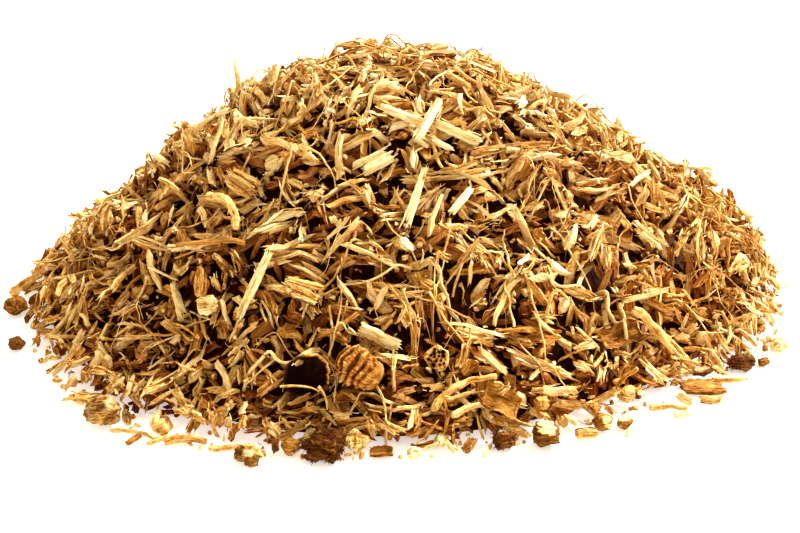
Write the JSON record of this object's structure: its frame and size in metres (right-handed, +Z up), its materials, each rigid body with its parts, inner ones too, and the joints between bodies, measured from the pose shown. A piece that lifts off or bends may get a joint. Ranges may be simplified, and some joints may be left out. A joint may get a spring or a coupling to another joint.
{
  "type": "heap of cut dried root",
  "caption": "Low mound of split, shredded dried root with loose chips, thin rootlets and round root sections lying on it and round its foot.",
  "frame": {"origin": "on the resting plane, straight below the peak of the heap", "axes": "+Z up, -Y towards the front of the heap, +X to the right seen from the front"},
  "size_m": [0.2037, 0.1919, 0.061],
  "materials": {
    "shred_mix": "matt, fibrous, dry",
    "pale_wood": "matt, split wood with fine grain",
    "gold_wood": "matt, dry inner root",
    "brown_bark": "matt, wrinkled bark",
    "dark_bark": "matt, dark wrinkled bark"
  },
  "bodies": {
    "root": {"shred_heap": "shred_mix", "crossing_chip_left": "pale_wood", "crossing_chip_right": "pale_wood", "crossing_chip_middle": "pale_wood", "crumpled_pale_chip": "pale_wood", "forked_root": "pale_wood", "yellow_block": "pale_wood", "layered_splinter": "gold_wood", "pale_split_chip": "pale_wood", "short_pale_bar": "pale_wood", "bent_thick_rootlet": "gold_wood", "pale_stick_left": "pale_wood", "crumpled_lump_left": "pale_wood", "long_split_left": "pale_wood", "flat_bright_chip": "gold_wood", "dark_bark_curl": "brown_bark", "parallel_root_upper": "gold_wood", "parallel_root_lower": "gold_wood", "curled_chip": "pale_wood", "porous_root_end": "gold_wood", "bark_shell": "dark_bark", "ribbed_root_section": "brown_bark", "curved_root_front": "gold_wood", "dark_bark_plate": "brown_bark", "stick_far_left": "gold_wood", "root_lump_left": "brown_bark", "bark_crumb_left": "dark_bark", "rootlet_tangle": "brown_bark", "root_section_left": "brown_bark", "square_cut_chunk": "gold_wood", "bent_rootlet_left": "gold_wood", "dark_splinter": "brown_bark", "pale_splinter_left": "gold_wood", "cut_stick_front_left": "gold_wood", "thin_stick_front": "gold_wood", "pale_lump_front_left": "pale_wood", "brown_root_ball": "brown_bark", "dark_woolly_nodule": "dark_bark", "pale_knuckle": "pale_wood", "flat_brown_chip": "brown_bark", "pale_crumb": "pale_wood", "red_splinter_bundle": "brown_bark", "pale_needle": "pale_wood", "dark_lump_right": "dark_bark", "round_nodule_right": "gold_wood", "wedge_chip": "gold_wood", "rounded_lump_right": "gold_wood", "pink_block": "brown_bark", "pale_fibre_chip": "pale_wood", "dark_tipped_root": "gold_wood", "pale_chip_right": "pale_wood", "standing_chip_right": "pale_wood", "flat_bark_chip": "brown_bark", "pale_block_right": "gold_wood", "thin_stick_right": "gold_wood", "dark_nodule_right": "dark_bark", "brown_crumb_right": "brown_bark", "pale_lump_far_right": "pale_wood"}
  },
  "joints": []
}
